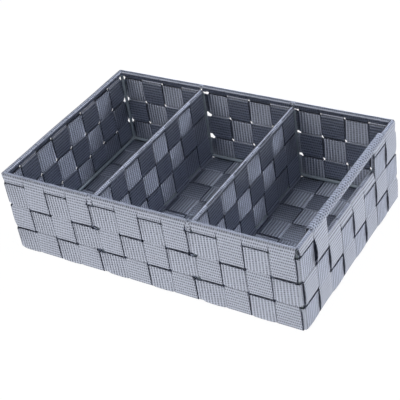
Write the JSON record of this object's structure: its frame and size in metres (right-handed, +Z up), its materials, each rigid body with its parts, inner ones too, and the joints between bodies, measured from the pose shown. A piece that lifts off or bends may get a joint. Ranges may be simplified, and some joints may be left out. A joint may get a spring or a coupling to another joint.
{
  "type": "bathroom organizer",
  "caption": "Low rectangular tray of flat woven webbing over a wire frame, with woven dividers making long compartments and a handle slot in one end wall.",
  "frame": {"origin": "middle of the underside, on the surface it stands on", "axes": "+X along the length towards the end wall with the handle slot, +Y towards the back, +Z up"},
  "size_m": [0.322, 0.21, 0.0934],
  "materials": {
    "webbing": "woven polypropylene, satin",
    "wire_paint": "satin powder coat"
  },
  "bodies": {
    "root": {"front_back_strap_01": "webbing", "front_back_strap_02": "webbing", "front_back_strap_03": "webbing", "front_back_strap_04": "webbing", "front_back_strap_05": "webbing", "front_back_strap_06": "webbing", "front_back_strap_07": "webbing", "front_back_strap_08": "webbing", "front_back_strap_09": "webbing", "front_back_strap_10": "webbing", "front_back_strap_11": "webbing", "front_back_strap_12": "webbing", "left_right_strap_1": "webbing", "left_right_strap_2": "webbing", "left_right_strap_3": "webbing", "left_right_strap_4": "webbing", "left_right_strap_5": "webbing", "left_right_strap_6": "webbing", "left_right_strap_7": "webbing", "left_right_strap_8": "webbing", "ring_strap_upper": "webbing", "ring_strap_middle": "webbing", "ring_strap_lower": "webbing", "divider_1_rail_upper": "webbing", "divider_1_rail_middle": "webbing", "divider_1_rail_lower": "webbing", "divider_2_rail_upper": "webbing", "divider_2_rail_middle": "webbing", "divider_2_rail_lower": "webbing", "divider_1_upright_1": "webbing", "divider_1_upright_2": "webbing", "divider_1_upright_3": "webbing", "divider_1_upright_4": "webbing", "divider_1_upright_5": "webbing", "divider_1_upright_6": "webbing", "divider_1_upright_7": "webbing", "divider_1_upright_8": "webbing", "divider_2_upright_1": "webbing", "divider_2_upright_2": "webbing", "divider_2_upright_3": "webbing", "divider_2_upright_4": "webbing", "divider_2_upright_5": "webbing", "divider_2_upright_6": "webbing", "divider_2_upright_7": "webbing", "divider_2_upright_8": "webbing", "divider_1_tie_front": "webbing", "divider_1_tie_back": "webbing", "divider_2_tie_front": "webbing", "divider_2_tie_back": "webbing", "handle_grip": "webbing", "rim_wire": "wire_paint", "end_hoop_left": "wire_paint", "end_hoop_right": "wire_paint", "base_wire_front": "wire_paint", "base_wire_back": "wire_paint", "divider_1_hoop": "wire_paint", "divider_1_base_wire": "wire_paint", "divider_2_hoop": "wire_paint", "divider_2_base_wire": "wire_paint", "slot_wire": "wire_paint"}
  },
  "joints": []
}
